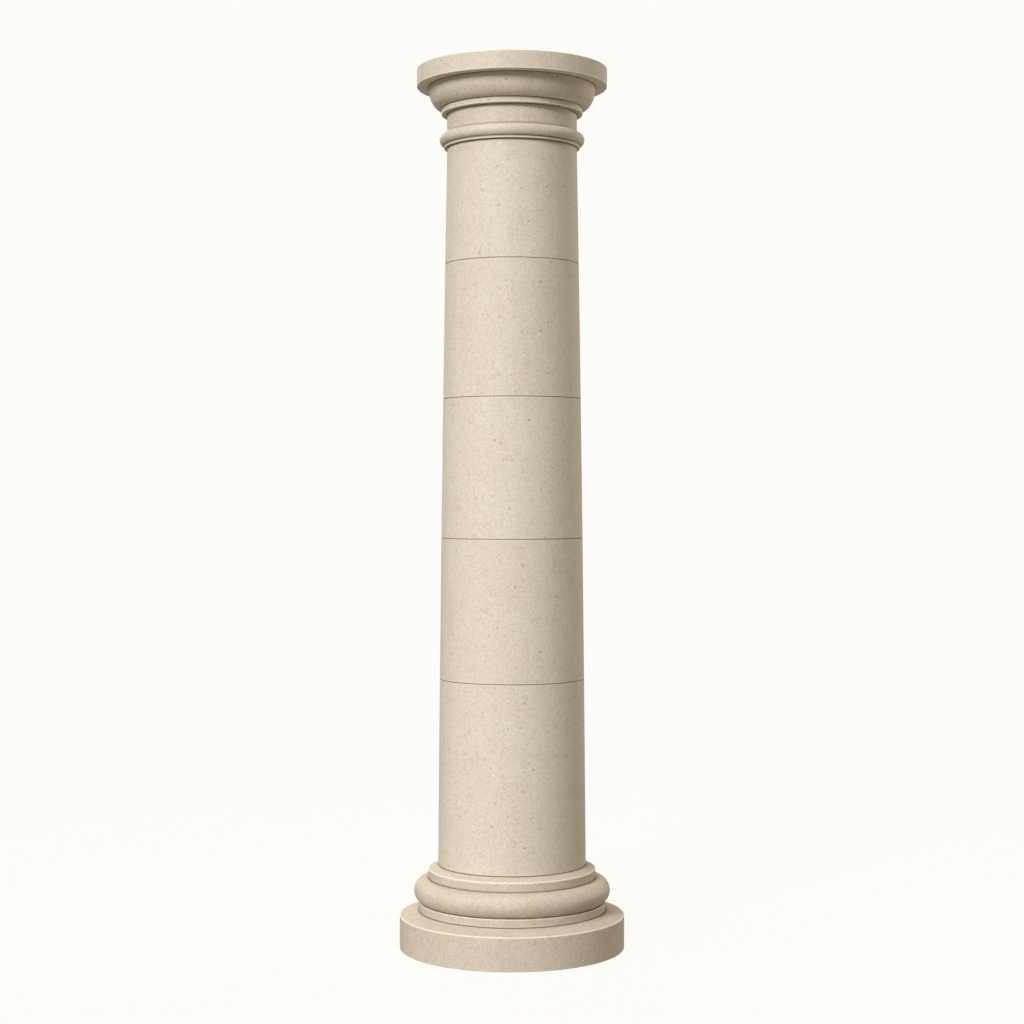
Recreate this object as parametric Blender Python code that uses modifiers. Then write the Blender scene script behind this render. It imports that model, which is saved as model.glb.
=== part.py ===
"""Doric column of turned limestone blocks that stand on each other on one vertical axis.

From the ground up: a round plinth, a moulded base, four plain shaft drums, a top drum that
carries the astragal, and a moulded capital with a round abacus. Lengths are in metres and +Z
is up. The origin is the middle of the underside.
"""

import math

import bpy

# Turning
TURNING_STEPS = 60
TORUS_STEPS = 12
ASTRAGAL_STEPS = 8
ECHINUS_STEPS = 8
DRUM_SIDE_STEPS = 2
MERGE_DISTANCE = 0.00001

# Edges and beds
BED_GAP = 0.0003
BED_ARRIS = 0.0015
FREE_ARRIS = 0.0025

# Shaft, which swells a little between foot and neck
SHAFT_FOOT_RADIUS = 0.2530
SHAFT_NECK_RADIUS = 0.2220
SHAFT_SWELL = 0.0030
PLAIN_DRUM_HEIGHTS = (0.634, 0.481, 0.474, 0.460)
TOP_DRUM_SHAFT_HEIGHT = 0.395

# Base block
UPPER_FILLET_PROJECTION = 0.0330
UPPER_FILLET_HEIGHT = 0.0320
UPPER_WASH_RISE = 0.0150
TORUS_RADIUS = 0.0415
TORUS_LEDGE = 0.0082
TORUS_RETURN_ANGLE = math.radians(70.0)
LOWER_FILLET_SETBACK = 0.0157
LOWER_FILLET_HEIGHT = 0.0280

# Plinth
PLINTH_PROJECTION = 0.0645
PLINTH_EDGE_HEIGHT = 0.1120
PLINTH_WASH_RISE = 0.0170

# Mouldings of the top drum
SMALL_FILLET_PROJECTION = 0.0110
SMALL_FILLET_HEIGHT = 0.0085
ASTRAGAL_RADIUS = 0.0205
ASTRAGAL_LEDGE = 0.0055
ASTRAGAL_RETURN_ANGLE = math.radians(75.0)

# Capital
NECK_HEIGHT = 0.0661
CAPITAL_FILLET_PROJECTION = 0.0195
CAPITAL_FILLET_HEIGHT = 0.0200
ECHINUS_HEIGHT = 0.0735
ECHINUS_PROJECTION = 0.0440
ABACUS_PROJECTION = 0.0395
ABACUS_HEIGHT = 0.0610

# Radii that follow from the sizes above
UPPER_FILLET_RADIUS = SHAFT_FOOT_RADIUS + UPPER_FILLET_PROJECTION
TORUS_CENTRE_RADIUS = UPPER_FILLET_RADIUS + TORUS_LEDGE
LOWER_FILLET_RADIUS = TORUS_CENTRE_RADIUS + TORUS_RADIUS - LOWER_FILLET_SETBACK
PLINTH_RADIUS = LOWER_FILLET_RADIUS + PLINTH_PROJECTION
SMALL_FILLET_RADIUS = SHAFT_NECK_RADIUS + SMALL_FILLET_PROJECTION
ASTRAGAL_CENTRE_RADIUS = SHAFT_NECK_RADIUS + ASTRAGAL_LEDGE
CAPITAL_FILLET_RADIUS = SHAFT_NECK_RADIUS + CAPITAL_FILLET_PROJECTION
ECHINUS_RADIUS = CAPITAL_FILLET_RADIUS + ECHINUS_PROJECTION
ABACUS_RADIUS = ECHINUS_RADIUS + ABACUS_PROJECTION
SHAFT_HEIGHT = sum(PLAIN_DRUM_HEIGHTS) + TOP_DRUM_SHAFT_HEIGHT + len(PLAIN_DRUM_HEIGHTS) * BED_GAP

# Limestone, as linear colours
STONE_ROUGHNESS = 0.85
STONE_COLOURS = {
    "plinth": (0.565, 0.468, 0.365, 1.0),
    "base": (0.590, 0.492, 0.386, 1.0),
    "drum_1": (0.600, 0.503, 0.398, 1.0),
    "drum_2": (0.590, 0.495, 0.392, 1.0),
    "drum_3": (0.605, 0.509, 0.404, 1.0),
    "drum_4": (0.594, 0.498, 0.395, 1.0),
    "drum_5": (0.603, 0.505, 0.400, 1.0),
    "capital": (0.586, 0.490, 0.385, 1.0),
}


def clear_scene():
    """Remove every object that the scene starts with."""
    for scene_object in list(bpy.data.objects):
        bpy.data.objects.remove(scene_object, do_unlink=True)


def limestone(name):
    """Matt limestone in the tone of one block."""
    material = bpy.data.materials.new(f"limestone_{name}")
    material.use_nodes = True
    shader = material.node_tree.nodes["Principled BSDF"]
    shader.inputs["Base Color"].default_value = STONE_COLOURS[name]
    shader.inputs["Roughness"].default_value = STONE_ROUGHNESS
    shader.inputs["Metallic"].default_value = 0.0
    material.diffuse_color = STONE_COLOURS[name]
    return material


def shaft_radius(height):
    """Radius of the shaft at a height above its foot: a straight taper plus a parabolic swell."""
    share = height / SHAFT_HEIGHT
    taper = SHAFT_FOOT_RADIUS + (SHAFT_NECK_RADIUS - SHAFT_FOOT_RADIUS) * share
    return taper + 4.0 * SHAFT_SWELL * share * (1.0 - share)


def arc(centre_radius, centre_height, half_width, half_height, start, end, steps):
    """Outline corners along an elliptical arc, with angles from the outward horizontal."""
    corners = []
    for step in range(steps + 1):
        angle = start + (end - start) * step / steps
        radius = centre_radius + half_width * math.cos(angle)
        height = centre_height + half_height * math.sin(angle)
        corners.append((radius, height, 0.0))
    return corners


def eased(corners):
    """Outline points, with a flat cut of the stated width taken off each corner that has one."""
    points = []
    for index, (radius, height, ease) in enumerate(corners):
        if ease == 0.0:
            points.append((radius, height))
            continue
        for neighbour in (corners[index - 1], corners[index + 1]):
            reach = math.hypot(neighbour[0] - radius, neighbour[1] - height)
            share = ease / reach
            along_radius = radius + (neighbour[0] - radius) * share
            along_height = height + (neighbour[1] - height) * share
            points.append((along_radius, along_height))
    return points


def turned_block(name, corners, level, collection):
    """Turn an outline about the axis, from its underside up, and return the next block's level.

    The outline is a list of (radius, height, ease) corners from the foot to the top edge. The
    flat underside and top are closed to the axis.
    """
    top_height = corners[-1][1]
    closed = [(0.0, 0.0, 0.0)] + corners + [(0.0, top_height, 0.0)]
    outline = list(reversed(eased(closed)))
    mesh = bpy.data.meshes.new(name)
    vertices = [(radius, 0.0, height) for radius, height in outline]
    edges = [(index, index + 1) for index in range(len(outline) - 1)]
    mesh.from_pydata(vertices, edges, [])
    mesh.materials.append(limestone(name))
    block = bpy.data.objects.new(name, mesh)
    block.location = (0.0, 0.0, level)
    collection.objects.link(block)
    screw = block.modifiers.new("turning", "SCREW")
    screw.axis = "Z"
    screw.angle = math.tau
    screw.steps = TURNING_STEPS
    screw.render_steps = TURNING_STEPS
    screw.use_merge_vertices = True
    screw.merge_threshold = MERGE_DISTANCE
    screw.use_smooth_shade = True
    return level + top_height + BED_GAP


def plinth(level, collection):
    """Round plinth with an upright edge and a wash that sheds water from the base."""
    seat_height = PLINTH_EDGE_HEIGHT + PLINTH_WASH_RISE
    corners = [
        (PLINTH_RADIUS, 0.0, BED_ARRIS),
        (PLINTH_RADIUS, PLINTH_EDGE_HEIGHT, FREE_ARRIS),
        (LOWER_FILLET_RADIUS, seat_height, 0.0),
    ]
    return turned_block("plinth", corners, level, collection)


def base(level, collection):
    """Base block: lower fillet, torus, upper fillet and a wash up to the foot of the shaft."""
    torus_foot = LOWER_FILLET_HEIGHT
    torus_centre = torus_foot + TORUS_RADIUS * math.sin(TORUS_RETURN_ANGLE)
    torus_top = torus_centre + TORUS_RADIUS
    upper_edge = torus_top + UPPER_FILLET_HEIGHT
    torus = arc(
        TORUS_CENTRE_RADIUS,
        torus_centre,
        TORUS_RADIUS,
        TORUS_RADIUS,
        -TORUS_RETURN_ANGLE,
        math.pi / 2.0,
        TORUS_STEPS,
    )
    corners = [
        (LOWER_FILLET_RADIUS, 0.0, BED_ARRIS),
        (LOWER_FILLET_RADIUS, LOWER_FILLET_HEIGHT, FREE_ARRIS),
        *torus,
        (UPPER_FILLET_RADIUS, torus_top, 0.0),
        (UPPER_FILLET_RADIUS, upper_edge, FREE_ARRIS),
        (SHAFT_FOOT_RADIUS, upper_edge + UPPER_WASH_RISE, 0.0),
    ]
    return turned_block("base", corners, level, collection)


def drum_side(foot, height):
    """Side of a drum whose underside is at a height above the foot of the shaft."""
    corners = []
    for step in range(DRUM_SIDE_STEPS + 1):
        rise = height * step / DRUM_SIDE_STEPS
        corners.append((shaft_radius(foot + rise), rise, 0.0))
    return corners


def with_ease(corner, ease):
    """The same corner with an eased edge."""
    radius, height, _ = corner
    return (radius, height, ease)


def plain_drums(level, collection):
    """Four plain drums, each following the swell of the shaft at its own height."""
    foot = 0.0
    for number, height in enumerate(PLAIN_DRUM_HEIGHTS, start=1):
        side = drum_side(foot, height)
        side[0] = with_ease(side[0], BED_ARRIS)
        side[-1] = with_ease(side[-1], BED_ARRIS)
        level = turned_block(f"drum_{number}", side, level, collection)
        foot += height + BED_GAP
    return level


def top_drum(level, collection):
    """Top drum of the shaft, which ends in a small fillet and the astragal."""
    number = len(PLAIN_DRUM_HEIGHTS) + 1
    side = drum_side(SHAFT_HEIGHT - TOP_DRUM_SHAFT_HEIGHT, TOP_DRUM_SHAFT_HEIGHT)
    side[0] = with_ease(side[0], BED_ARRIS)
    fillet_foot = TOP_DRUM_SHAFT_HEIGHT
    fillet_top = fillet_foot + SMALL_FILLET_HEIGHT
    astragal_centre = fillet_top + ASTRAGAL_RADIUS * math.sin(ASTRAGAL_RETURN_ANGLE)
    astragal_top = astragal_centre + ASTRAGAL_RADIUS
    astragal = arc(
        ASTRAGAL_CENTRE_RADIUS,
        astragal_centre,
        ASTRAGAL_RADIUS,
        ASTRAGAL_RADIUS,
        -ASTRAGAL_RETURN_ANGLE,
        math.pi / 2.0,
        ASTRAGAL_STEPS,
    )
    corners = [
        *side,
        (SMALL_FILLET_RADIUS, fillet_foot, BED_ARRIS),
        (SMALL_FILLET_RADIUS, fillet_top, 0.0),
        *astragal,
    ]
    return turned_block(f"drum_{number}", corners, level, collection)


def capital(level, collection):
    """Capital: necking, fillet with a flat underside, quarter-round echinus and round abacus."""
    fillet_foot = NECK_HEIGHT
    fillet_top = fillet_foot + CAPITAL_FILLET_HEIGHT
    echinus_top = fillet_top + ECHINUS_HEIGHT
    echinus = arc(
        CAPITAL_FILLET_RADIUS,
        echinus_top,
        ECHINUS_PROJECTION,
        ECHINUS_HEIGHT,
        -math.pi / 2.0,
        0.0,
        ECHINUS_STEPS,
    )
    corners = [
        (SHAFT_NECK_RADIUS, 0.0, BED_ARRIS),
        (SHAFT_NECK_RADIUS, fillet_foot, 0.0),
        (CAPITAL_FILLET_RADIUS, fillet_foot, FREE_ARRIS),
        *echinus,
        (ABACUS_RADIUS, echinus_top, FREE_ARRIS),
        (ABACUS_RADIUS, echinus_top + ABACUS_HEIGHT, FREE_ARRIS),
    ]
    return turned_block("capital", corners, level, collection)


def build_column():
    """Stack the blocks from the ground up in one collection."""
    clear_scene()
    collection = bpy.data.collections.new("doric_column")
    bpy.context.scene.collection.children.link(collection)
    level = plinth(0.0, collection)
    level = base(level, collection)
    level = plain_drums(level, collection)
    level = top_drum(level, collection)
    capital(level, collection)


build_column()
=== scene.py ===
"""Doric column of turned limestone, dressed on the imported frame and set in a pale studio.

Lengths are metres in the frame's own axes: +Z is up and the origin is the middle of the
plinth's underside. Each block is a half section carried round the axis and worked out as
whole numpy grids. It stands for the solid of the same name and keeps inside it.
"""

import logging
import math
from dataclasses import dataclass, field
from enum import Enum

import bpy
import numpy as np
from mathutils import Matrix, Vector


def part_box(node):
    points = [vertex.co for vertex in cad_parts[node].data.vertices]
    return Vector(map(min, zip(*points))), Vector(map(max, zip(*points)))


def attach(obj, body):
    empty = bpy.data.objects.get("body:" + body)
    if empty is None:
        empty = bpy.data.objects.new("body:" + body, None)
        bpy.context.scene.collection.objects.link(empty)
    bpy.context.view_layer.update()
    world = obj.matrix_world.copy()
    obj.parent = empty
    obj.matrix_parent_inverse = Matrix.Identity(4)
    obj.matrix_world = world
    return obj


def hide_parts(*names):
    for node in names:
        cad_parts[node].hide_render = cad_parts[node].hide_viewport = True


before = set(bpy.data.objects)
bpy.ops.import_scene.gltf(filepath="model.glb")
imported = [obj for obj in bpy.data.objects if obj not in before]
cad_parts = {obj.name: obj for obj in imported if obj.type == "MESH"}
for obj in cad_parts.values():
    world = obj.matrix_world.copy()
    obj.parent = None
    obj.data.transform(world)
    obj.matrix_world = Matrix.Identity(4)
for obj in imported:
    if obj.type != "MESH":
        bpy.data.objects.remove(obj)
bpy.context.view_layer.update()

LOG = logging.getLogger("doric_column")
MM = 0.001
BODY = "root"
# where two faces turn by more than this, in degrees, the corner is shaded sharp
SHARP_ANGLE = 40.0
# how far apart in the quarry's bed two blocks may have been cut, in metres from its middle
QUARRY_REACH = 20.0


class Edge(Enum):
    """How a corner of a block's section is finished."""

    CURVE = "a point on a curve"
    # an inner corner also gets painted shade in the stone's colour
    CREASE = "an inner corner, which gathers dust"
    BED = "the rim of a bed, eased so that it doesn't spall"
    FREE = "an outer arris, rubbed round by hand"


ROUNDING = {Edge.CURVE: 0.0, Edge.CREASE: 0.0, Edge.BED: 1.5 * MM, Edge.FREE: 2.5 * MM}


def linear_colour(code: str, alpha: float = 1.0) -> tuple[float, float, float, float]:
    """Turn an sRGB hex colour into a linear one.

    The sRGB curve is a straight line for the darkest channels and a power of 2.4 above them.

    Args:
        code: six hex digits after a hash sign.
        alpha: the fourth channel.

    Returns:
        Red, green, blue and alpha, from 0 to 1.
    """
    channels = np.array([int(code[start : start + 2], 16) for start in (1, 3, 5)]) / 255.0
    low = channels / 12.92
    high = ((channels + 0.055) / 1.055) ** 2.4
    red, green, blue = np.where(channels <= 0.04045, low, high)
    return float(red), float(green), float(blue), alpha


def socket(sockets: bpy.types.bpy_prop_collection, key: str | int) -> bpy.types.NodeSocket:
    """Find a socket by its number, or the first one in use by its name.

    Args:
        sockets: a node's inputs or outputs.
        key: the number or the name.

    Returns:
        The socket.
    """
    if isinstance(key, int):
        return sockets[key]
    return next(one for one in sockets if one.enabled and one.name == key)


def add_node(
    tree: bpy.types.NodeTree,
    kind: str,
    settings: dict[str | int, object] | None = None,
    links: dict[str | int, bpy.types.Node | bpy.types.NodeSocket] | None = None,
) -> bpy.types.Node:
    """Add one node, with its settings and its incoming links.

    Args:
        tree: the node tree that gets it.
        kind: the node's type name.
        settings: attribute names, or input names or numbers, each with its value.
        links: input names or numbers, each with the output that feeds it, or with a node
            whose first output in use feeds it.

    Returns:
        The new node.
    """
    node = tree.nodes.new(kind)
    for key, value in (settings or {}).items():
        if isinstance(key, str) and hasattr(node, key):
            setattr(node, key, value)
        else:
            socket(node.inputs, key).default_value = value
    for key, source in (links or {}).items():
        if isinstance(source, bpy.types.Node):
            source = next(one for one in source.outputs if one.enabled)
        tree.links.new(source, socket(node.inputs, key))
    return node


def waves(
    points: np.ndarray,
    wavelength: float,
    seed: int,
    spread: tuple[float, float] = (0.6, 1.5),
    count: int = 40,
) -> np.ndarray:
    """Smooth noise of unit variance: a sum of plane waves with random directions and phases.

    Each wave is the cosine of a full turn for each of its lengths that a point lies along its
    direction, plus its phase. The sum is divided by the root of half the number of waves.

    Args:
        points: positions, with the last axis of length 3.
        wavelength: the usual wavelength in metres.
        seed: start of the random numbers.
        spread: shortest and longest wave, as shares of the usual one.
        count: how many waves are summed.

    Returns:
        One number for each point.
    """
    random = np.random.default_rng(seed)
    directions = random.normal(size=(count, 3))
    directions /= np.linalg.norm(directions, axis=1, keepdims=True)
    lengths = wavelength * random.uniform(*spread, count)
    phases = random.uniform(0.0, math.tau, count)
    angles = points @ (directions * (math.tau / lengths)[:, None]).T + phases
    return np.sqrt(2.0 / count) * np.cos(angles).sum(axis=-1)


@dataclass(frozen=True)
class Corner:
    """One corner of a half section: its distance from the axis, its height and its edge."""

    radius: float
    height: float
    edge: Edge = Edge.CURVE


@dataclass(frozen=True)
class Arc:
    """An elliptical arc in a half section.

    Its angles are in degrees from the outward horizontal, and its corners lie about one step
    apart, with a least number of steps for a very small arc.
    """

    centre_radius: float
    centre_height: float
    half_width: float
    half_height: float
    start: float
    end: float
    step: float = 2.0 * MM
    least_steps: int = 4

    def corners(self) -> list[Corner]:
        """Corners along the arc.

        A corner lies at the centre plus the half width times the angle's cosine outwards and
        the half height times its sine upwards.

        Returns:
            The corners, both ends included.
        """
        sweep = math.radians(abs(self.end - self.start))
        length = sweep * max(self.half_width, self.half_height)
        count = max(self.least_steps, math.ceil(length / self.step))
        angles = np.radians(np.linspace(self.start, self.end, count + 1))
        radii = self.centre_radius + self.half_width * np.cos(angles)
        heights = self.centre_height + self.half_height * np.sin(angles)
        return [Corner(float(radius), float(height)) for radius, height in zip(radii, heights)]


@dataclass(frozen=True)
class Trace:
    """A half section in fine samples, from the pole of the underside to the pole of the top.

    crease and arris are 1 at an inner corner and on an outer edge, and fall off along the
    section. open is 1 where air and weather reach and 0 inside a bed.
    """

    radius: np.ndarray
    height: np.ndarray
    crease: np.ndarray
    arris: np.ndarray
    open: np.ndarray

    @property
    def run(self) -> np.ndarray:
        """Distance along the section from the first pole."""
        steps = np.hypot(np.diff(self.radius), np.diff(self.height))
        return np.concatenate([[0.0], np.cumsum(steps)])

    @property
    def normals(self) -> tuple[np.ndarray, np.ndarray]:
        """Outward direction at each sample: the section's own direction, turned by a right angle.

        Returns:
            Its radial share and its upward share.
        """
        run = self.run
        along_radius = np.gradient(self.radius, run)
        along_height = np.gradient(self.height, run)
        size = np.hypot(along_radius, along_height)
        return along_height / size, -along_radius / size


@dataclass(frozen=True)
class Section:
    """A block's half section: corners from the rim of its underside up to the rim of its top.

    The two flat beds that close it to the axis are added here. The spacings are the steps
    between samples on the sides and on the two beds. Beside an edge the samples are closer:
    first the end steps, and a short step where a side has no room for them. The widths say how
    far painted shade reaches from an inner corner and a dark line from a joint, and how far a
    painted highlight, partly standing for wear, reaches from an arris's edge.
    """

    corners: list[Corner]
    spacing: float = 4.4 * MM
    bed_spacing: float = 40.0 * MM
    top_spacing: float = 40.0 * MM
    top_is_open: bool = False
    crease_width: float = 3.8 * MM
    joint_width: float = 2.5 * MM
    arris_width: float = 1.3 * MM
    rounding_steps: int = 5
    end_steps: tuple[float, ...] = (0.6 * MM, 1.5 * MM, 2.8 * MM)
    short_step: float = 1.8 * MM

    def rounded(self, corner: Corner, before: Corner, after: Corner) -> np.ndarray:
        """Points of the circular arc that rounds an outer corner.

        The arc touches both sides. Its centre lies on the corner's bisector, at the rounding
        radius over the sine of half the corner's angle.

        Args:
            corner: the corner itself.
            before: the corner that the section comes from.
            after: the corner that it goes to.

        Returns:
            Rows of radius and height.
        """
        here = np.array([corner.radius, corner.height])
        back = np.array([before.radius, before.height]) - here
        on = np.array([after.radius, after.height]) - here
        back /= np.linalg.norm(back)
        on /= np.linalg.norm(on)
        half_angle = math.acos(float(np.clip(back @ on, -1.0, 1.0))) / 2.0
        radius = ROUNDING[corner.edge]
        bisector = (back + on) / np.linalg.norm(back + on)
        centre = here + bisector * radius / math.sin(half_angle)
        first = here + back * radius / math.tan(half_angle) - centre
        last = here + on * radius / math.tan(half_angle) - centre
        share = np.linspace(0.0, 1.0, self.rounding_steps + 1)[:, None]
        chord = first * (1.0 - share) + last * share
        return centre + radius * chord / np.linalg.norm(chord, axis=1, keepdims=True)

    def stretch(self, length: float, spacing: float, fine_start: bool, fine_end: bool) -> np.ndarray:
        """Distances along a straight side: even, and close together beside an edge.

        Args:
            length: the side's length.
            spacing: the even step.
            fine_start: whether the side starts at an edge, not at a point on a curve.
            fine_end: whether it ends at one.

        Returns:
            Distances from the side's start, both ends included.
        """
        near = np.array(self.end_steps)
        first = near if fine_start else near[:0]
        last = length - (near if fine_end else near[:0])
        even_start = first.max(initial=0.0)
        even_end = last.min(initial=length)
        if even_end - even_start < spacing:
            step = self.short_step if fine_start or fine_end else spacing
            return np.linspace(0.0, length, math.ceil(length / step) + 1)
        even = np.linspace(even_start, even_end, math.ceil((even_end - even_start) / spacing) + 1)
        return np.unique(np.concatenate([[0.0], first, even, last, [length]]))

    def trace(self) -> Trace:
        """Sample the whole section.

        Returns:
            The samples, with the weights of creases and arrises.
        """
        top = self.corners[-1].height
        foot = self.corners[0].height
        corners = [Corner(0.0, foot), *self.corners, Corner(0.0, top)]
        knots = [np.array([[0.0, foot]])]
        at_edge = [False]
        creases: list[tuple[np.ndarray, float]] = []
        edges: list[np.ndarray] = []
        for before, corner, after in zip(corners, corners[1:], corners[2:]):
            here = np.array([[corner.radius, corner.height]])
            if ROUNDING[corner.edge] > 0.0:
                here = self.rounded(corner, before, after)
                edges.append(here[len(here) // 2])
            if corner.edge is Edge.CREASE:
                creases.append((here[0], self.crease_width))
            if corner.edge is Edge.BED and corner.height in (foot, top):
                rim = here[0] if corner.height == foot else here[-1]
                creases.append((rim, self.joint_width))
            knots.append(here)
            at_edge += [corner.edge is not Edge.CURVE] * len(here)
        knots.append(np.array([[0.0, top]]))
        at_edge.append(False)
        knot = np.concatenate(knots)
        samples = [knot[:1]]
        is_open = [np.zeros(1)]
        for index, (start, end) in enumerate(zip(knot[:-1], knot[1:])):
            in_foot = index == 0
            in_top = index == len(knot) - 2
            spacing = self.spacing
            if in_foot or in_top:
                spacing = self.top_spacing if in_top else self.bed_spacing
            length = float(np.linalg.norm(end - start))
            steps = self.stretch(length, spacing, at_edge[index], at_edge[index + 1])
            share = steps[1:, None] / length
            samples.append(start * (1.0 - share) + end * share)
            shown = not in_foot and (not in_top or self.top_is_open)
            is_open.append(np.full(len(share), float(shown)))
        line = np.concatenate(samples)
        return Trace(
            radius=line[:, 0],
            height=line[:, 1],
            crease=self.nearness(line, [place for place, _ in creases], [width for _, width in creases]),
            arris=self.nearness(line, edges, [self.arris_width + ROUNDING[Edge.BED]] * len(edges)),
            open=np.concatenate(is_open),
        )

    @staticmethod
    def nearness(line: np.ndarray, places: list[np.ndarray], widths: list[float]) -> np.ndarray:
        """Weight of the nearest place: a bell curve of the straight distance over its width.

        Args:
            line: the samples, as rows of radius and height.
            places: the places.
            widths: the width of each place's bell.

        Returns:
            One weight for each sample, the largest where bells meet.
        """
        weight = np.zeros(len(line))
        for place, width in zip(places, widths):
            distance = np.linalg.norm(line - place, axis=1)
            weight = np.maximum(weight, np.exp(-((distance / width) ** 2)))
        return weight


@dataclass(frozen=True)
class Dressing:
    """How far the mason's rubbing and the stone's own voids stand off the true section.

    All depths go inwards, so a block keeps inside its solid. Each length is that of its waves.
    A level and a swing are the middle and the spread of a relief, as shares of its depth.
    """

    rub_length: float = 90.0 * MM
    rub_depth: float = 0.30 * MM
    drag_length: float = 22.0 * MM
    drag_depth: float = 0.05 * MM
    wear_length: float = 14.0 * MM
    wear_depth: float = 0.35 * MM
    rub_level: float = 0.5
    rub_swing: float = 0.2
    wear_level: float = 0.3
    wear_swing: float = 0.3
    pits_per_square_metre: float = 260.0
    pit_radius: tuple[float, float] = (5.0 * MM, 9.0 * MM)
    pit_depth: tuple[float, float] = (0.25 * MM, 0.70 * MM)
    finest_column: float = 0.5 * MM

    def depth(self, points: np.ndarray, trace: Trace, seed: int) -> np.ndarray:
        """Depth of the relief below the true section.

        It is a broad swell, a fine ripple, more wear along the arrises, and shallow round pits.

        Args:
            points: the true surface as rows of the section by columns round the axis.
            trace: the section.
            seed: start of the random numbers.

        Returns:
            One depth for each point, never below 0.
        """
        rub = self.rub_level + self.rub_swing * waves(points, self.rub_length, seed)
        drag = self.rub_level + self.rub_swing * waves(points, self.drag_length, seed + 1)
        wear = self.wear_level + self.wear_swing * waves(points, self.wear_length, seed + 2)
        rub, drag, wear = (np.clip(share, 0.0, 1.0) for share in (rub, drag, wear))
        depth = self.rub_depth * rub + self.drag_depth * drag
        depth += self.wear_depth * wear * trace.arris[:, None]
        depth += self.pits(points, trace, seed + 3)
        return depth * trace.open[:, None]

    def pits(self, points: np.ndarray, trace: Trace, seed: int) -> np.ndarray:
        """Shallow pits left by shells: each is a raised cosine of the distance to its centre.

        Args:
            points: the true surface as rows of the section by columns round the axis.
            trace: the section. Pits are as likely on every part of its open surface.
            seed: start of the random numbers.

        Returns:
            One depth for each point, the deepest where pits meet.
        """
        random = np.random.default_rng(seed)
        rows, columns, _ = points.shape
        run = trace.run
        ring = math.tau * trace.radius
        area = float(np.sum(0.5 * (ring[1:] + ring[:-1]) * np.diff(run) * trace.open[1:]))
        count = int(area * self.pits_per_square_metre)
        chance = ring * trace.open * np.gradient(run)
        centres = random.choice(rows, size=count, p=chance / chance.sum())
        turns = random.integers(0, columns, size=count)
        radii = random.uniform(*self.pit_radius, size=count)
        deeps = random.uniform(*self.pit_depth, size=count)
        depth = np.zeros((rows, columns))
        for row, column, radius, deep in zip(centres, turns, radii, deeps):
            near_rows = slice(*np.searchsorted(run, [run[row] - radius, run[row] + radius]))
            reach = math.ceil(radius / max(ring[row] / columns, self.finest_column))
            near_columns = np.arange(column - reach, column + reach + 1) % columns
            patch = points[near_rows][:, near_columns]
            distance = np.linalg.norm(patch - points[row, column], axis=2)
            bowl = 0.5 + 0.5 * np.cos(math.pi * np.minimum(distance / radius, 1.0))
            block = np.ix_(np.arange(rows)[near_rows], near_columns)
            depth[block] = np.maximum(depth[block], deep * bowl)
        return depth


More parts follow.
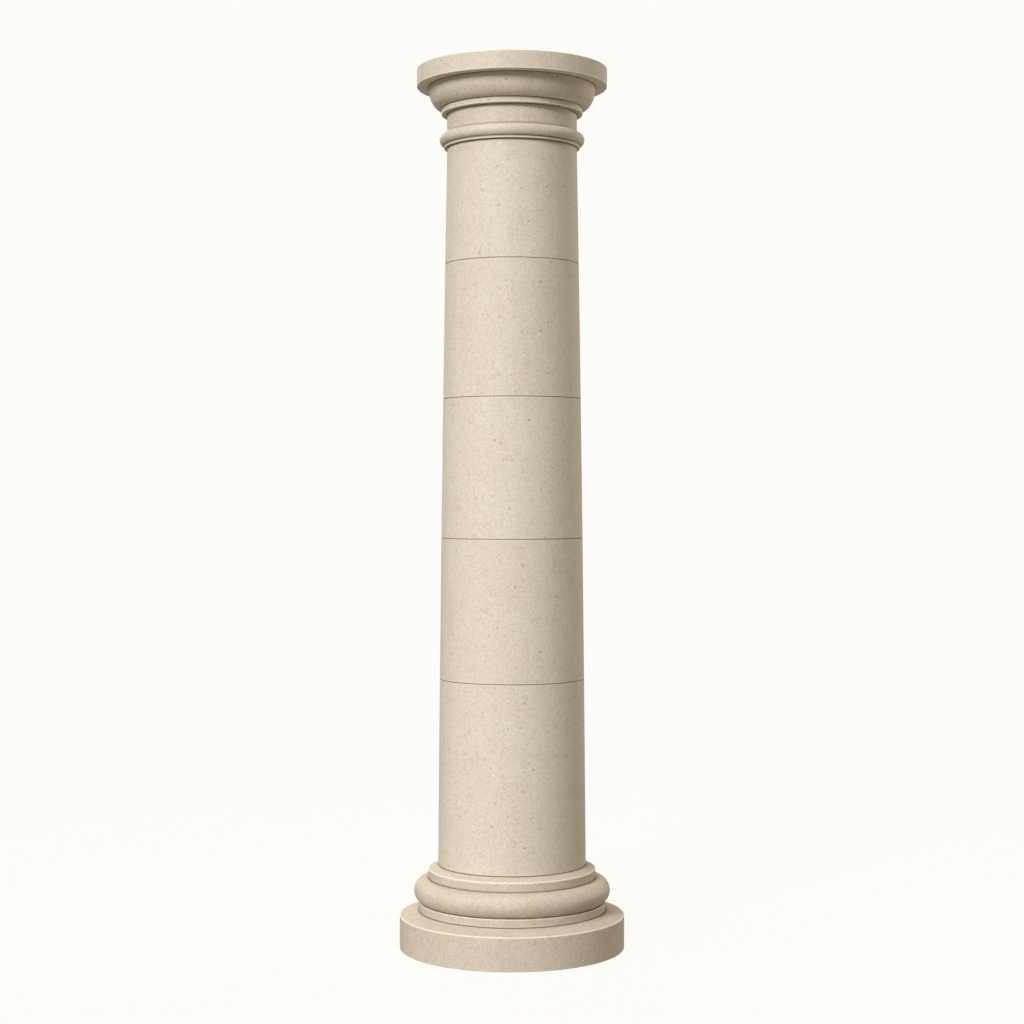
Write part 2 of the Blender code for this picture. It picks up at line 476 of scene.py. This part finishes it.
@dataclass(frozen=True)
class Limestone:
    """Fine shelly limestone, sawn, turned and rubbed matt.

    It reads as one warm pale stone with a sandy grain, dark specks of broken shell and faint
    curved shell marks. Each inner corner is darkened with painted shade and each joint with a
    dark line, and each outer arris is lightened with a painted highlight that partly stands for
    wear. Its ooids are about 1 mm wide, too fine to show at this distance, so the grain is drawn
    4 mm wide.
    """

    deep: str = "#9c8b75"
    pale: str = "#eae4da"
    umber: str = "#8c7861"
    # painted shade for the inner corners; along the joints the same colour is a real dark joint line
    painted_shade_and_dust: str = "#7b6850"
    # painted highlight for the outer arrises, partly standing for their worn, paler stone
    painted_highlight_and_wear: str = "#e4dcd0"
    roughness: float = 0.64
    specular: float = 0.45
    cloud_size: float = 90.0 * MM
    cloud_contrast: float = 0.06
    mottle_size: float = 14.0 * MM
    mottle_contrast: float = 0.10
    grain_size: float = 4.0 * MM
    grain_contrast: float = 0.25
    streak_size: tuple[float, float] = (16.0 * MM, 500.0 * MM)
    streak_contrast: float = 0.03
    dark_grain_level: tuple[float, float] = (0.42, 0.22)
    dark_grain_share: float = 0.30
    speck_spacing: float = 28.0 * MM
    speck_rarity: float = 0.4
    speck_threshold: float = 0.02
    speck_radius: float = 5.2 * MM
    speck_fade: float = 1.5 * MM
    speck_share: float = 0.62
    shell_spacing: float = 32.0 * MM
    shell_radius: tuple[float, float] = (3.0 * MM, 11.0 * MM)
    shell_line: float = 2.4 * MM
    shell_share: float = 0.42
    shell_break: float = 20.0 * MM
    shell_break_level: tuple[float, float] = (0.50, 0.58)
    # how strongly the painted shade and the painted highlight cover the stone's colour
    crease_share: float = 0.92
    arris_share: float = 0.85
    grain_height: float = 0.10 * MM

    def material(self, name: str, shift: float, offset: tuple[float, float, float]) -> bpy.types.Material:
        """Build the material of one block.

        The stone's colour lies between a deep one and a pale one, by a tone, and specks and
        shell marks brown it. The tone is one half plus the block's shift plus, for each
        pattern, its contrast times how far it is off its middle.

        Args:
            name: the block's name.
            shift: how much lighter this block's stone is than the next, as a share.
            offset: where in the quarry's bed it was cut, which moves its pattern.

        Returns:
            The material.
        """
        material = bpy.data.materials.new(f"rubbed_limestone_{name}")
        material.use_nodes = True
        tree = material.node_tree
        tree.nodes.clear()
        origin = add_node(tree, "ShaderNodeTexCoord").outputs["Object"]
        place = add_node(tree, "ShaderNodeMapping", {"Location": offset}, {"Vector": origin})
        drawn = add_node(
            tree,
            "ShaderNodeMapping",
            {"Location": offset, "Scale": (1.0, 1.0, self.streak_size[0] / self.streak_size[1])},
            {"Vector": origin},
        )
        grain = add_node(
            tree,
            "ShaderNodeTexNoise",
            {"Scale": 1.0 / self.grain_size, "Detail": 1.0},
            {"Vector": place},
        )
        level = 0.5 + shift - self.grain_contrast
        tone = add_node(
            tree,
            "ShaderNodeMath",
            {"operation": "MULTIPLY_ADD", 1: 2.0 * self.grain_contrast, 2: level},
            {0: grain},
        )
        for where, size, detail, contrast in (
            (place, self.cloud_size, 2.0, self.cloud_contrast),
            (place, self.mottle_size, 1.0, self.mottle_contrast),
            (drawn, self.streak_size[0], 1.0, self.streak_contrast),
        ):
            noise = add_node(
                tree,
                "ShaderNodeTexNoise",
                {"Scale": 1.0 / size, "Detail": detail},
                {"Vector": where},
            )
            part = add_node(
                tree,
                "ShaderNodeMath",
                {"operation": "MULTIPLY_ADD", 1: 2.0 * contrast, 2: -contrast},
                {0: noise},
            )
            tone = add_node(tree, "ShaderNodeMath", {"operation": "ADD"}, {0: tone, 1: part})
        dark_start, dark_full = self.dark_grain_level
        dark_grain = add_node(
            tree,
            "ShaderNodeMapRange",
            {"From Min": dark_start, "From Max": dark_full, "To Max": self.dark_grain_share},
            {"Value": grain},
        )
        specks = self.specks(tree, place)
        shells = self.shells(tree, place)
        marks = add_node(tree, "ShaderNodeMath", {"operation": "MAXIMUM"}, {0: dark_grain, 1: specks})
        marks = add_node(tree, "ShaderNodeMath", {"operation": "MAXIMUM"}, {0: marks, 1: shells})
        stone = add_node(
            tree,
            "ShaderNodeMix",
            {"data_type": "RGBA", "A": linear_colour(self.deep), "B": linear_colour(self.pale)},
            {"Factor": tone},
        )
        colour = add_node(
            tree,
            "ShaderNodeMix",
            {"data_type": "RGBA", "B": linear_colour(self.umber)},
            {"Factor": marks, "A": stone},
        )
        # painted highlight on the outer arrises, partly wear; painted shade in the inner corners and a dark
        # line at the joints
        for attribute, strength, tint in (
            ("arris", self.arris_share, self.painted_highlight_and_wear),
            ("crease", self.crease_share, self.painted_shade_and_dust),
        ):
            weight = add_node(tree, "ShaderNodeAttribute", {"attribute_name": attribute}).outputs["Fac"]
            share = add_node(tree, "ShaderNodeMath", {"operation": "MULTIPLY", 1: strength}, {0: weight})
            colour = add_node(
                tree,
                "ShaderNodeMix",
                {"data_type": "RGBA", "B": linear_colour(tint)},
                {"Factor": share, "A": colour},
            )
        height = add_node(tree, "ShaderNodeMath", {"operation": "SUBTRACT"}, {0: grain, 1: specks})
        bump = add_node(tree, "ShaderNodeBump", {"Distance": self.grain_height}, {"Height": height})
        shader = add_node(
            tree,
            "ShaderNodeBsdfPrincipled",
            {"Roughness": self.roughness, "Specular IOR Level": self.specular},
            {"Base Color": colour, "Normal": bump},
        )
        add_node(tree, "ShaderNodeOutputMaterial", {}, {"Surface": shader})
        return material

    def specks(self, tree: bpy.types.NodeTree, place: bpy.types.Node) -> bpy.types.Node:
        """Dark specks of shell: balls at scattered centres, cut by the surface.

        A ball's radius follows its cell's random number, from a little below nothing at the
        rarity up to the full radius at 1, so that nearly half the cells have none. The speck
        fades in from the ball's edge inwards.

        Args:
            tree: the material's tree.
            place: position in the block, in metres.

        Returns:
            A node whose value is 0 off the specks and speck_share on them.
        """
        spacing = self.speck_spacing
        cell = add_node(tree, "ShaderNodeTexVoronoi", {"Scale": 1.0 / spacing}, {"Vector": place})
        chance = add_node(tree, "ShaderNodeSeparateColor", {}, {"Color": cell.outputs["Color"]})
        radius = add_node(
            tree,
            "ShaderNodeMapRange",
            {
                "From Min": self.speck_rarity,
                "To Min": -self.speck_threshold,
                "To Max": self.speck_radius / spacing,
            },
            {"Value": chance},
        )
        depth = add_node(tree, "ShaderNodeMath", {"operation": "SUBTRACT"}, {0: radius, 1: cell})
        fade = {"From Min": 0.0, "From Max": self.speck_fade / spacing, "To Max": self.speck_share}
        return add_node(tree, "ShaderNodeMapRange", fade, {"Value": depth})

    def shells(self, tree: bpy.types.NodeTree, place: bpy.types.Node) -> bpy.types.Node:
        """Curved shell marks: thin hollow balls at scattered centres, cut by the surface.

        A ball's radius follows its cell's random number. Noise breaks its ring into arcs.

        Args:
            tree: the material's tree.
            place: position in the block, in metres.

        Returns:
            A node whose value is 0 off the marks and shell_share on them.
        """
        spacing = self.shell_spacing
        cell = add_node(tree, "ShaderNodeTexVoronoi", {"Scale": 1.0 / spacing}, {"Vector": place})
        chance = add_node(tree, "ShaderNodeSeparateColor", {}, {"Color": cell.outputs["Color"]})
        low, high = (radius / spacing for radius in self.shell_radius)
        radius = add_node(
            tree,
            "ShaderNodeMapRange",
            {"To Min": low, "To Max": high},
            {"Value": chance.outputs["Green"]},
        )
        off = add_node(tree, "ShaderNodeMath", {"operation": "SUBTRACT"}, {0: cell, 1: radius})
        far = add_node(tree, "ShaderNodeMath", {"operation": "ABSOLUTE"}, {0: off})
        line = add_node(
            tree,
            "ShaderNodeMapRange",
            {"From Min": self.shell_line / spacing, "From Max": 0.0, "To Max": self.shell_share},
            {"Value": far},
        )
        breaks = add_node(tree, "ShaderNodeTexNoise", {"Scale": 1.0 / self.shell_break}, {"Vector": place})
        gone, whole = self.shell_break_level
        kept = add_node(tree, "ShaderNodeMapRange", {"From Min": gone, "From Max": whole}, {"Value": breaks})
        return add_node(tree, "ShaderNodeMath", {"operation": "MULTIPLY"}, {0: line, 1: kept})


@dataclass
class TurnedBlock:
    """A block of stone turned about the column's axis.

    Its level and its overall size come from the solid that it stands for, which has the
    node's name. The seed starts its random numbers, the shift is how much lighter its stone
    is, and columns are the steps round the axis. A subclass gives the half section.
    """

    node: str
    slot: str
    seed: int
    shift: float
    columns: int = 360
    finish: Limestone = field(default_factory=Limestone)
    dressing: Dressing = field(default_factory=Dressing)

    @property
    def foot(self) -> float:
        """Height of the block's underside."""
        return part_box(self.node)[0].z

    @property
    def top(self) -> float:
        """Height of the block's upper bed."""
        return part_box(self.node)[1].z

    @property
    def widest(self) -> float:
        """Largest radius of the block."""
        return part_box(self.node)[1].x

    def section(self) -> Section:
        """The half section, from the rim of the underside to the rim of the top."""
        raise NotImplementedError

    def build(self) -> bpy.types.Object:
        """Make the block's mesh and material, and set it on the frame.

        Returns:
            The finished piece.
        """
        trace = self.section().trace()
        mesh = self.turned_mesh(trace)
        offset = tuple(np.random.default_rng(self.seed).uniform(-QUARRY_REACH, QUARRY_REACH, 3))
        mesh.materials.append(self.finish.material(self.node, self.shift, offset))
        piece = bpy.data.objects.new(f"{self.node}_stone", mesh)
        bpy.context.scene.collection.objects.link(piece)
        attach(piece, BODY)
        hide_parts(self.node)
        triangles = sum(len(polygon.vertices) - 2 for polygon in mesh.polygons)
        LOG.info("%s: %d triangles, %.3f m to %.3f m", piece.name, triangles, self.foot, self.top)
        return piece

    def turned_mesh(self, trace: Trace) -> bpy.types.Mesh:
        """Carry the section round the axis and press the relief into it.

        A point is at (r cos a, r sin a, z), for the section's radius r and height z and the
        turn a, less the relief's depth along the outward normal.

        Args:
            trace: the section.

        Returns:
            A closed mesh with the attributes crease and arris.
        """
        turns = np.linspace(0.0, math.tau, self.columns, endpoint=False)
        outward, upward = trace.normals
        ray = np.stack([np.cos(turns), np.sin(turns)], axis=1)
        flat = trace.radius[:, None, None] * ray[None]
        tall = np.broadcast_to(trace.height[:, None, None], (*flat.shape[:2], 1))
        points = np.concatenate([flat, tall], axis=2)
        depth = self.dressing.depth(points, trace, self.seed)
        points[:, :, :2] -= (depth * outward[:, None])[:, :, None] * ray[None]
        points[:, :, 2] -= depth * upward[:, None]
        rings = points[1:-1]
        vertices = np.concatenate([points[0, :1], rings.reshape(-1, 3), points[-1, :1]])
        mesh = bpy.data.meshes.new(f"{self.node}_stone")
        fill_mesh(mesh, vertices, *ring_faces(len(rings), self.columns))
        # crease places the painted shade and the joint lines, arris the painted highlight and wear
        for name, weight in (("crease", trace.crease), ("arris", trace.arris)):
            inner = np.repeat(weight[1:-1], self.columns)
            values = np.concatenate([weight[:1], inner, weight[-1:]]).astype(np.float32)
            mesh.attributes.new(name, "FLOAT", "POINT").data.foreach_set("value", values)
        return mesh


def ring_faces(rings: int, columns: int) -> tuple[np.ndarray, np.ndarray]:
    """Faces of a closed lathe mesh: quads between rings and a fan of triangles at each pole.

    Vertex 0 is the lower pole, the rings follow from the bottom up, and the last is the upper
    pole. Faces run so that their normals point outwards.

    Args:
        rings: number of rings.
        columns: vertices in a ring.

    Returns:
        The corner vertices of all faces in turn, and where each face starts among them.
    """
    here = np.arange(columns)
    ahead = np.roll(here, -1)
    row = 1 + columns * np.arange(rings - 1)[:, None]
    quads = np.stack([row + here, row + ahead, row + columns + ahead, row + columns + here], axis=2)
    last_ring = 1 + columns * (rings - 1)
    lower = np.stack([np.zeros(columns, int), 1 + ahead, 1 + here], axis=1)
    upper = np.stack([np.full(columns, last_ring + columns), last_ring + here, last_ring + ahead], axis=1)
    corners = np.concatenate([quads.ravel(), lower.ravel(), upper.ravel()])
    sizes = np.repeat([4, 3], [quads.shape[0] * columns, 2 * columns])
    starts = np.concatenate([[0], np.cumsum(sizes)[:-1]])
    return corners, starts


def fill_mesh(mesh: bpy.types.Mesh, vertices: np.ndarray, corners: np.ndarray, starts: np.ndarray) -> None:
    """Put arrays into an empty mesh and shade it smooth, apart from its sharp creases.

    Args:
        mesh: the empty mesh.
        vertices: rows of x, y and z.
        corners: the corner vertices of all faces in turn.
        starts: where each face starts among the corners.
    """
    mesh.vertices.add(len(vertices))
    mesh.vertices.foreach_set("co", vertices.astype(np.float32).ravel())
    mesh.loops.add(len(corners))
    mesh.loops.foreach_set("vertex_index", corners.astype(np.int32))
    mesh.polygons.add(len(starts))
    mesh.polygons.foreach_set("loop_start", starts.astype(np.int32))
    mesh.update(calc_edges=True)
    mesh.shade_smooth()
    mesh.set_sharp_from_angle(angle=math.radians(SHARP_ANGLE))


@dataclass
class Plinth(TurnedBlock):
    """Round plinth with an upright edge and a wash that rises to the foot of the base."""

    edge_height: float = 112.0 * MM
    projection: float = 64.5 * MM

    def section(self) -> Section:
        """Underside, upright edge and wash.

        Returns:
            The half section.
        """
        corners = [
            Corner(self.widest, self.foot, Edge.BED),
            Corner(self.widest, self.foot + self.edge_height, Edge.FREE),
            Corner(self.widest - self.projection, self.top, Edge.CREASE),
        ]
        return Section(corners)


@dataclass
class MouldedBase(TurnedBlock):
    """Base block with a lower fillet, a torus, an upper fillet and a wash.

    The torus returns under itself to an angle of torus_return degrees below the horizontal.
    """

    lower_fillet_setback: float = 15.7 * MM
    lower_fillet_height: float = 28.0 * MM
    torus_radius: float = 41.5 * MM
    torus_return: float = 70.0
    torus_ledge: float = 8.2 * MM
    upper_fillet_height: float = 32.0 * MM
    upper_projection: float = 33.0 * MM

    def section(self) -> Section:
        """The mouldings from the bottom up.

        Returns:
            The half section.
        """
        lower_radius = self.widest - self.lower_fillet_setback
        centre_radius = self.widest - self.torus_radius
        torus_foot = self.foot + self.lower_fillet_height
        centre_height = torus_foot + self.torus_radius * math.sin(math.radians(self.torus_return))
        torus_top = centre_height + self.torus_radius
        upper_radius = centre_radius - self.torus_ledge
        torus = Arc(
            centre_radius,
            centre_height,
            self.torus_radius,
            self.torus_radius,
            -self.torus_return,
            90.0,
        ).corners()
        corners = [
            Corner(lower_radius, self.foot, Edge.BED),
            Corner(lower_radius, torus_foot, Edge.FREE),
            Corner(torus[0].radius, torus[0].height, Edge.CREASE),
            *torus[1:],
            Corner(upper_radius, torus_top, Edge.CREASE),
            Corner(upper_radius, torus_top + self.upper_fillet_height, Edge.FREE),
            Corner(upper_radius - self.upper_projection, self.top, Edge.CREASE),
        ]
        return Section(corners, spacing=2.6 * MM)


@dataclass(frozen=True)
class Shaft:
    """The shaft as a whole: a straight taper with a slight swell."""

    foot: float
    top: float
    foot_radius: float = 253.0 * MM
    neck_radius: float = 222.0 * MM
    swell: float = 3.0 * MM

    def radius(self, height: float) -> float:
        """Radius at a height: the taper plus a parabola that is 0 at both ends.

        Args:
            height: level above the ground.

        Returns:
            The shaft's radius there.
        """
        share = (height - self.foot) / (self.top - self.foot)
        taper = self.foot_radius + (self.neck_radius - self.foot_radius) * share
        return taper + 4.0 * self.swell * share * (1.0 - share)


@dataclass
class PlainDrum(TurnedBlock):
    """A plain drum of the shaft."""

    shaft: Shaft | None = None
    side_steps: int = 24

    def side(self, top: float) -> list[Corner]:
        """Corners of the drum's side, in even steps of height, following the shaft.

        Args:
            top: height at which the side ends.

        Returns:
            The corners, from the drum's foot up.
        """
        heights = np.linspace(self.foot, top, self.side_steps + 1)
        corners = [Corner(self.shaft.radius(float(height)), float(height)) for height in heights]
        corners[0] = Corner(corners[0].radius, corners[0].height, Edge.BED)
        return corners

    def section(self) -> Section:
        """The side, with both beds' rims eased.

        Returns:
            The half section.
        """
        corners = self.side(self.top)
        corners[-1] = Corner(corners[-1].radius, corners[-1].height, Edge.BED)
        return Section(corners)


@dataclass
class TopDrum(PlainDrum):
    """Top drum, which ends in a small fillet and the astragal.

    shaft_height is the height of the shaft's line on it, up to where the taper ends. The
    astragal returns under itself to an angle of astragal_return degrees below the horizontal.
    """

    shaft_height: float = 395.0 * MM
    fillet_projection: float = 11.0 * MM
    fillet_height: float = 8.5 * MM
    astragal_radius: float = 20.5 * MM
    astragal_return: float = 75.0
    astragal_step: float = 1.5 * MM

    def section(self) -> Section:
        """The side, the fillet with its flat underside, and the astragal.

        Returns:
            The half section.
        """
        centre_height = self.top - self.astragal_radius
        drop = self.astragal_radius * math.sin(math.radians(self.astragal_return))
        fillet_top = centre_height - drop
        fillet_foot = fillet_top - self.fillet_height
        fillet_radius = self.shaft.neck_radius + self.fillet_projection
        side = self.side(fillet_foot)
        astragal = Arc(
            self.widest - self.astragal_radius,
            centre_height,
            self.astragal_radius,
            self.astragal_radius,
            -self.astragal_return,
            90.0,
            self.astragal_step,
        ).corners()
        corners = [
            *side[:-1],
            Corner(side[-1].radius, fillet_foot, Edge.CREASE),
            Corner(fillet_radius, fillet_foot, Edge.BED),
            Corner(fillet_radius, fillet_top, Edge.CREASE),
            *astragal[1:],
            Corner(self.shaft.neck_radius, self.top, Edge.CREASE),
        ]
        return Section(corners)


@dataclass
class Capital(TurnedBlock):
    """Capital with necking, fillet, quarter-round echinus and round abacus."""

    neck_radius: float = 222.0 * MM
    neck_height: float = 66.1 * MM
    fillet_projection: float = 19.5 * MM
    fillet_height: float = 20.0 * MM
    echinus_height: float = 73.5 * MM
    echinus_projection: float = 44.0 * MM

    def section(self) -> Section:
        """The mouldings from the neck up to the abacus.

        Returns:
            The half section.
        """
        fillet_foot = self.foot + self.neck_height
        fillet_top = fillet_foot + self.fillet_height
        fillet_radius = self.neck_radius + self.fillet_projection
        echinus_top = fillet_top + self.echinus_height
        echinus = Arc(
            fillet_radius,
            echinus_top,
            self.echinus_projection,
            self.echinus_height,
            -90.0,
            0.0,
        ).corners()
        corners = [
            Corner(self.neck_radius, self.foot, Edge.BED),
            Corner(self.neck_radius, fillet_foot, Edge.CREASE),
            Corner(fillet_radius, fillet_foot, Edge.FREE),
            Corner(fillet_radius, fillet_top, Edge.CREASE),
            *echinus[1:-1],
            Corner(echinus[-1].radius, echinus_top, Edge.CREASE),
            Corner(self.widest, echinus_top, Edge.FREE),
            Corner(self.widest, self.top, Edge.FREE),
        ]
        return Section(
            corners,
            spacing=2.6 * MM,
            top_spacing=12.0 * MM,
            top_is_open=True,
            crease_width=2.2 * MM,
            joint_width=5.0 * MM,
        )


@dataclass(frozen=True)
class StudioFloor:
    """Painted studio floor. It reads as one pale sheet that runs into the backdrop.

    Near the column a small share of it is matt paint, so a faint shade grounds the plinth,
    and past fade_end metres it is as bright as the backdrop.
    """

    colour: str = "#f4f2ee"
    glow_near: float = 0.96
    glow: float = 1.0
    fade_start: float = 1.0
    fade_end: float = 5.0

    def material(self, backdrop: str) -> bpy.types.Material:
        """Mix a matt paint with a glow of the backdrop's colour, by distance from the column.

        Args:
            backdrop: the backdrop's colour.

        Returns:
            The material.
        """
        material = bpy.data.materials.new("pale_studio_floor")
        material.use_nodes = True
        tree = material.node_tree
        tree.nodes.clear()
        origin = add_node(tree, "ShaderNodeTexCoord").outputs["Object"]
        distance = add_node(tree, "ShaderNodeVectorMath", {"operation": "LENGTH"}, {0: origin})
        share = add_node(
            tree,
            "ShaderNodeMapRange",
            {
                "interpolation_type": "SMOOTHSTEP",
                "From Min": self.fade_start,
                "From Max": self.fade_end,
                "To Min": self.glow_near,
                "To Max": 1.0,
            },
            {"Value": distance},
        )
        paint = add_node(tree, "ShaderNodeBsdfDiffuse", {"Color": linear_colour(self.colour)})
        glow = add_node(tree, "ShaderNodeEmission", {"Color": linear_colour(backdrop), "Strength": self.glow})
        mixed = add_node(tree, "ShaderNodeMixShader", {}, {0: share, 1: paint, 2: glow})
        add_node(tree, "ShaderNodeOutputMaterial", {}, {"Surface": mixed})
        return material


@dataclass(frozen=True)
class Lamp:
    """A far soft light. Azimuth is in degrees round from the viewer, to the left below 0."""

    name: str
    azimuth: float
    elevation: float
    strength: float
    softness: float
    colour: str

    def build(self) -> bpy.types.Object:
        """Add the light, aimed at the axis.

        Returns:
            The light's object.
        """
        light = bpy.data.lights.new(self.name, "SUN")
        light.energy = self.strength
        light.angle = math.radians(self.softness)
        light.color = linear_colour(self.colour)[:3]
        lamp = bpy.data.objects.new(self.name, light)
        lamp.rotation_euler = (math.radians(90.0 - self.elevation), 0.0, math.radians(self.azimuth))
        bpy.context.scene.collection.objects.link(lamp)
        return lamp


@dataclass
class Studio:
    """Floor, backdrop, lights and camera.

    The backdrop shows near white but lights the column less, with one colour from above the
    horizon and another from below it, and horizon_blend is how far the two run into each
    other. The camera's tilt is in degrees below the horizontal.
    """

    backdrop: str = "#fefcf8"
    sky: str = "#fff1d2"
    sky_light: float = 0.29
    bounce: str = "#fff5e1"
    bounce_light: float = 0.28
    floor: StudioFloor = field(default_factory=StudioFloor)
    floor_radius: float = 60.0
    floor_sides: int = 128
    horizon_blend: float = 0.1
    lamps: tuple[Lamp, ...] = (
        Lamp("key", -30.0, 27.0, 3.32, 20.0, "#ffffff"),
        Lamp("overhead", -30.0, 75.0, 1.10, 40.0, "#ffffff"),
        Lamp("rim", 130.0, 10.0, 1.08, 30.0, "#fff6e6"),
        Lamp("back_fill", -165.0, 20.0, 0.80, 40.0, "#fff6e6"),
        Lamp("floor_bounce", 60.0, -84.0, 0.58, 50.0, "#fff5e1"),
    )
    lens: float = 70.0
    camera_distance: float = 6.824
    eye_height: float = 1.5426
    camera_tilt: float = 0.450

    def build(self) -> None:
        """Build all of it."""
        self.build_floor()
        self.build_backdrop()
        for lamp in self.lamps:
            lamp.build()
        self.build_camera()

    def build_floor(self) -> None:
        """A large disc, which the lights shade but which throws no light back."""
        turns = np.linspace(0.0, math.tau, self.floor_sides, endpoint=False)
        rim = self.floor_radius * np.stack([np.cos(turns), np.sin(turns), np.zeros(len(turns))], axis=1)
        mesh = bpy.data.meshes.new("floor")
        mesh.from_pydata(rim.tolist(), [], [list(range(len(rim)))])
        mesh.materials.append(self.floor.material(self.backdrop))
        floor = bpy.data.objects.new("floor", mesh)
        floor.visible_diffuse = False
        floor.visible_glossy = False
        floor.visible_shadow = False
        bpy.context.scene.collection.objects.link(floor)

    def build_backdrop(self) -> None:
        """Near-white surroundings, which light the column less than they show."""
        world = bpy.data.worlds.new("pale_backdrop")
        bpy.context.scene.world = world
        world.use_nodes = True
        tree = world.node_tree
        tree.nodes.clear()
        way = add_node(tree, "ShaderNodeTexCoord").outputs["Generated"]
        rise = add_node(tree, "ShaderNodeSeparateXYZ", {}, {"Vector": way}).outputs["Z"]
        above = add_node(
            tree,
            "ShaderNodeMapRange",
            {"From Min": -self.horizon_blend, "From Max": self.horizon_blend},
            {"Value": rise},
        )
        parts = [
            add_node(tree, "ShaderNodeBackground", {"Color": linear_colour(colour), "Strength": light})
            for colour, light in (
                (self.bounce, self.bounce_light),
                (self.sky, self.sky_light),
                (self.backdrop, self.floor.glow),
            )
        ]
        around = add_node(tree, "ShaderNodeMixShader", {}, {0: above, 1: parts[0], 2: parts[1]})
        seen = add_node(tree, "ShaderNodeLightPath").outputs["Is Camera Ray"]
        mixed = add_node(tree, "ShaderNodeMixShader", {}, {0: seen, 1: around, 2: parts[2]})
        add_node(tree, "ShaderNodeOutputWorld", {}, {"Surface": mixed})

    def build_camera(self) -> None:
        """A camera at standing height, with the column's middle level with the eye."""
        camera = bpy.data.cameras.new("camera")
        camera.lens = self.lens
        # the whole floor stays in sight from any side
        camera.clip_end = 4.0 * self.floor_radius
        viewer = bpy.data.objects.new("camera", camera)
        viewer.location = (0.0, -self.camera_distance, self.eye_height)
        viewer.rotation_euler = (math.radians(90.0 - self.camera_tilt), 0.0, 0.0)
        bpy.context.scene.collection.objects.link(viewer)
        bpy.context.scene.camera = viewer
        bpy.context.scene.view_settings.view_transform = "Standard"


def column_blocks() -> list[TurnedBlock]:
    """All blocks of the column, from the ground up.

    Returns:
        The plinth, the base, five drums and the capital.
    """
    shaft = Shaft(foot=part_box("drum_1")[0].z, top=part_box("drum_5")[0].z + TopDrum.shaft_height)
    drums = [
        PlainDrum(f"drum_{number}", "shaft_limestone", 10 * number + 30, shift, shaft=shaft)
        for number, shift in ((1, 0.0), (2, -0.008), (3, 0.006), (4, -0.004))
    ]
    return [
        Plinth("plinth", "plinth_limestone", 10, -0.14),
        MouldedBase("base", "base_limestone", 20, -0.15),
        *drums,
        TopDrum("drum_5", "shaft_limestone", 80, 0.006, shaft=shaft),
        Capital("capital", "capital_limestone", 90, -0.04),
    ]


def main() -> None:
    """Build the studio, then each block in order."""
    logging.basicConfig(level=logging.INFO, format="%(name)s: %(message)s")
    studio = Studio()
    studio.build()
    LOG.info("studio: floor, backdrop, %d lamps and the camera", len(studio.lamps))
    for block in column_blocks():
        block.build()


if __name__ == "__main__":
    main()
